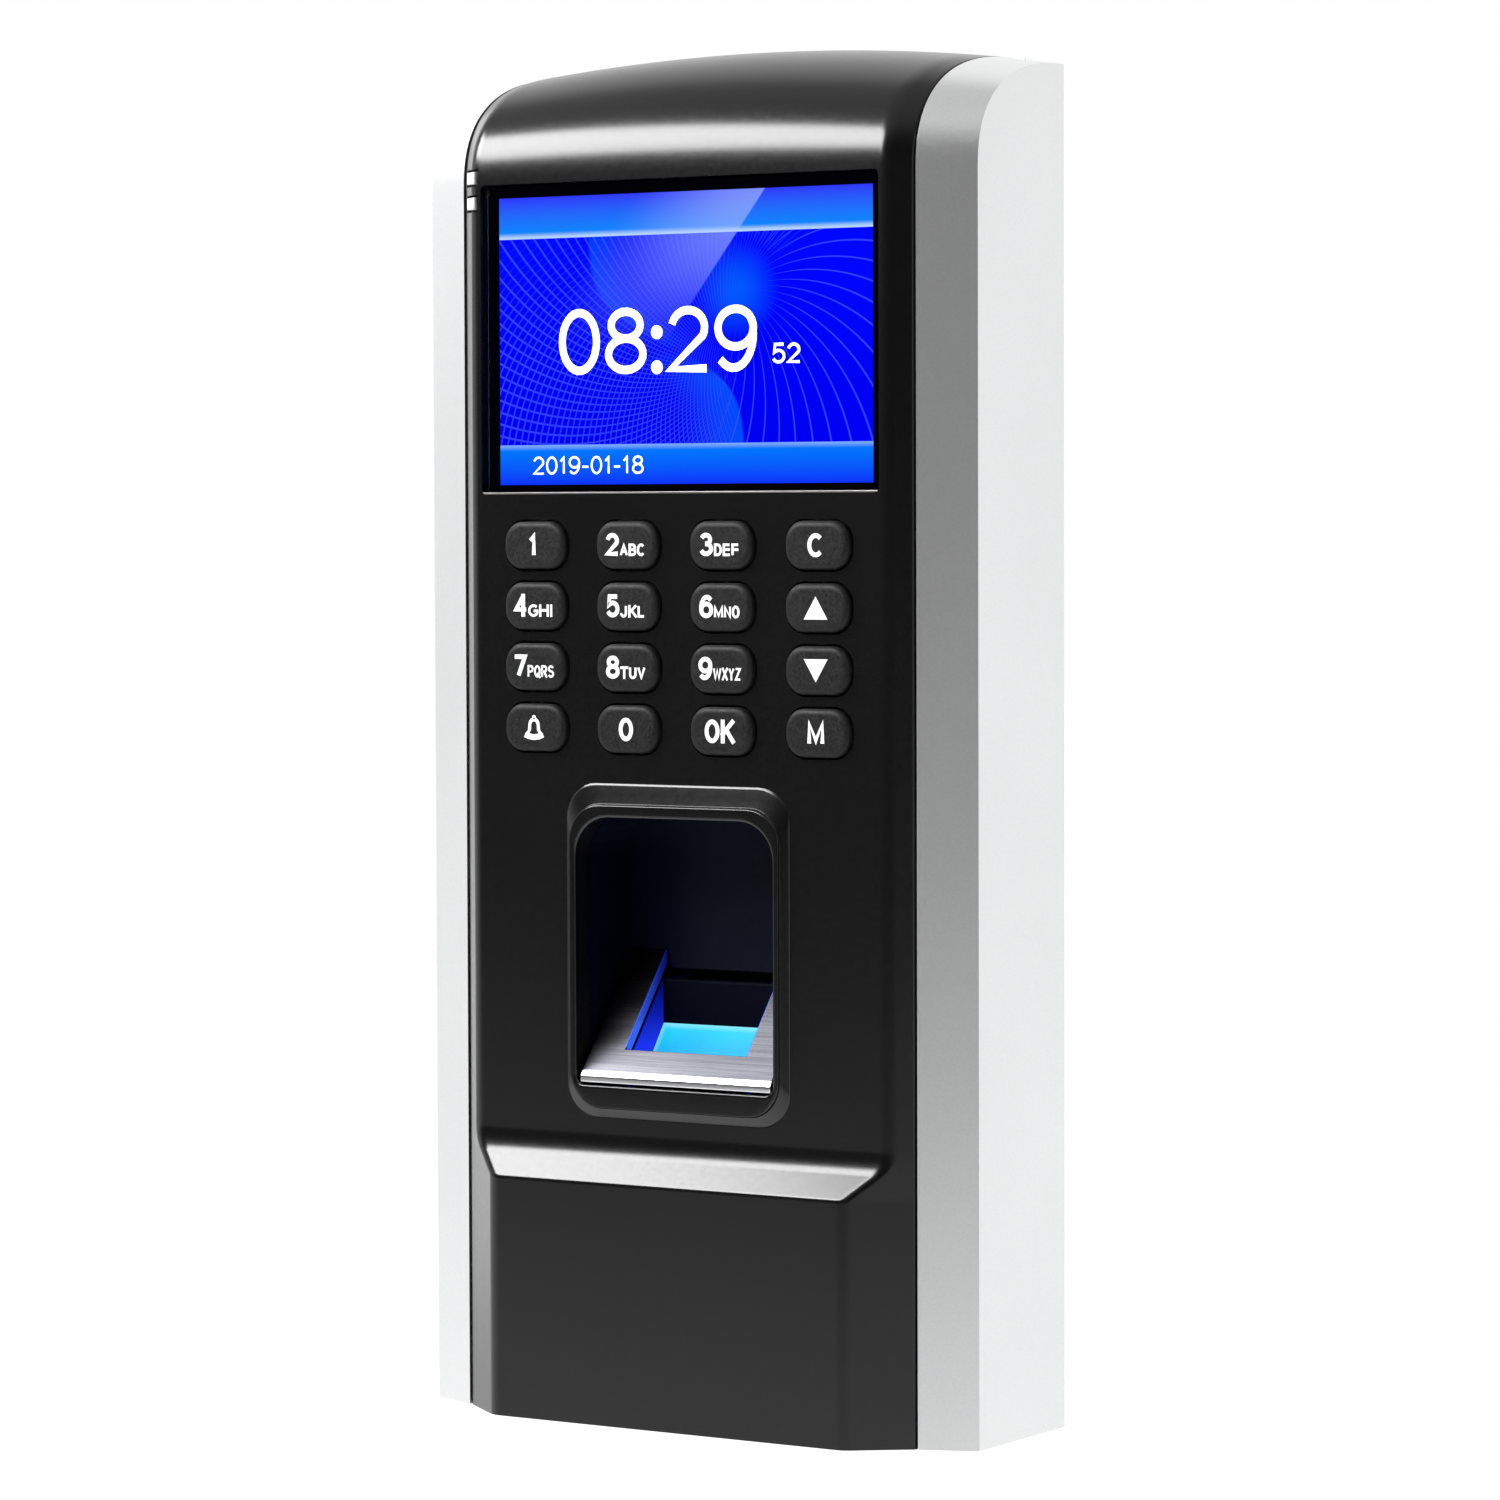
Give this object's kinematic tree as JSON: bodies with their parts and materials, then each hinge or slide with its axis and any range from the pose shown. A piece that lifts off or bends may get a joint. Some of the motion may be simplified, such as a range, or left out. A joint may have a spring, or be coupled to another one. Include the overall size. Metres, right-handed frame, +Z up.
{
  "type": "fingerprint scanner terminal",
  "caption": "Tall wall-mounted access terminal with silver side trims, colour display, four by four rubber keypad and a recessed fingerprint scanner.",
  "frame": {"origin": "centre of the wall plate's rear face, 87 mm above the terminal's base", "axes": "+Y into the wall, the front faces -Y, +Z up along the terminal's height, +X to the viewer's right"},
  "size_m": [0.083, 0.0305, 0.1771],
  "materials": {
    "black_plastic": "satin moulded",
    "silver_paint": "silver satin paint",
    "key_rubber": "matt",
    "navy_plastic": "dark satin",
    "clear_lens": "clear acrylic window",
    "display_blue": "lit colour display",
    "white_diffuser": "translucent",
    "scanner_glass": "blue-lit optical glass",
    "brushed_steel": "brushed",
    "zinc_steel": "zinc plated",
    "board_green": "solder mask",
    "silicone_grey": "silicone",
    "header_ivory": "moulded",
    "relay_blue": "moulded",
    "cell_steel": "nickel plated"
  },
  "bodies": {
    "terminal": {"front_shell": "black_plastic", "left_side_panel": "silver_paint", "right_side_panel": "silver_paint", "rear_cover": "black_plastic", "wall_plate": "zinc_steel", "display_lens": "clear_lens", "display_panel": "display_blue", "display_backlight": "white_diffuser", "status_light_upper": "white_diffuser", "status_light_lower": "white_diffuser", "keypad_mat": "silicone_grey", "keypad_board": "board_green", "finger_guide": "navy_plastic", "sensor_frame": "brushed_steel", "sensor_glass": "scanner_glass", "sensor_housing": "navy_plastic", "sensor_board": "board_green", "main_board": "board_green", "lock_relay": "relay_blue", "clock_battery": "cell_steel", "network_header": "header_ivory", "power_header": "header_ivory", "lock_header": "header_ivory", "reader_header": "header_ivory", "speaker": "cell_steel", "card_antenna": "board_green", "tamper_switch": "header_ivory", "wall_lock_screw": "zinc_steel", "rear_screw_lower_left": "zinc_steel", "rear_screw_lower_right": "zinc_steel", "rear_screw_upper_left": "zinc_steel", "rear_screw_upper_right": "zinc_steel"},
    "key_1": {"key_1": "key_rubber"},
    "key_2": {"key_2": "key_rubber"},
    "key_3": {"key_3": "key_rubber"},
    "key_clear": {"key_clear": "key_rubber"},
    "key_4": {"key_4": "key_rubber"},
    "key_5": {"key_5": "key_rubber"},
    "key_6": {"key_6": "key_rubber"},
    "key_up": {"key_up": "key_rubber"},
    "key_7": {"key_7": "key_rubber"},
    "key_8": {"key_8": "key_rubber"},
    "key_9": {"key_9": "key_rubber"},
    "key_down": {"key_down": "key_rubber"},
    "key_bell": {"key_bell": "key_rubber"},
    "key_0": {"key_0": "key_rubber"},
    "key_ok": {"key_ok": "key_rubber"},
    "key_menu": {"key_menu": "key_rubber"},
    "tamper_plunger": {"tamper_plunger": "black_plastic"}
  },
  "joints": [
    {"name": "key_1_press", "type": "slide", "parent": "terminal", "child": "key_1", "axis": [0, 1, 0], "range_m": [0, 0.001], "stiffness_N_per_m": 400},
    {"name": "key_2_press", "type": "slide", "parent": "terminal", "child": "key_2", "axis": [0, 1, 0], "range_m": [0, 0.001], "stiffness_N_per_m": 400},
    {"name": "key_3_press", "type": "slide", "parent": "terminal", "child": "key_3", "axis": [0, 1, 0], "range_m": [0, 0.001], "stiffness_N_per_m": 400},
    {"name": "key_clear_press", "type": "slide", "parent": "terminal", "child": "key_clear", "axis": [0, 1, 0], "range_m": [0, 0.001], "stiffness_N_per_m": 400},
    {"name": "key_4_press", "type": "slide", "parent": "terminal", "child": "key_4", "axis": [0, 1, 0], "range_m": [0, 0.001], "stiffness_N_per_m": 400},
    {"name": "key_5_press", "type": "slide", "parent": "terminal", "child": "key_5", "axis": [0, 1, 0], "range_m": [0, 0.001], "stiffness_N_per_m": 400},
    {"name": "key_6_press", "type": "slide", "parent": "terminal", "child": "key_6", "axis": [0, 1, 0], "range_m": [0, 0.001], "stiffness_N_per_m": 400},
    {"name": "key_up_press", "type": "slide", "parent": "terminal", "child": "key_up", "axis": [0, 1, 0], "range_m": [0, 0.001], "stiffness_N_per_m": 400},
    {"name": "key_7_press", "type": "slide", "parent": "terminal", "child": "key_7", "axis": [0, 1, 0], "range_m": [0, 0.001], "stiffness_N_per_m": 400},
    {"name": "key_8_press", "type": "slide", "parent": "terminal", "child": "key_8", "axis": [0, 1, 0], "range_m": [0, 0.001], "stiffness_N_per_m": 400},
    {"name": "key_9_press", "type": "slide", "parent": "terminal", "child": "key_9", "axis": [0, 1, 0], "range_m": [0, 0.001], "stiffness_N_per_m": 400},
    {"name": "key_down_press", "type": "slide", "parent": "terminal", "child": "key_down", "axis": [0, 1, 0], "range_m": [0, 0.001], "stiffness_N_per_m": 400},
    {"name": "key_bell_press", "type": "slide", "parent": "terminal", "child": "key_bell", "axis": [0, 1, 0], "range_m": [0, 0.001], "stiffness_N_per_m": 400},
    {"name": "key_0_press", "type": "slide", "parent": "terminal", "child": "key_0", "axis": [0, 1, 0], "range_m": [0, 0.001], "stiffness_N_per_m": 400},
    {"name": "key_ok_press", "type": "slide", "parent": "terminal", "child": "key_ok", "axis": [0, 1, 0], "range_m": [0, 0.001], "stiffness_N_per_m": 400},
    {"name": "key_menu_press", "type": "slide", "parent": "terminal", "child": "key_menu", "axis": [0, 1, 0], "range_m": [0, 0.001], "stiffness_N_per_m": 400},
    {"name": "tamper_press", "type": "slide", "parent": "terminal", "child": "tamper_plunger", "axis": [0, -1, 0], "range_m": [0, 0.0012], "stiffness_N_per_m": 400}
  ]
}
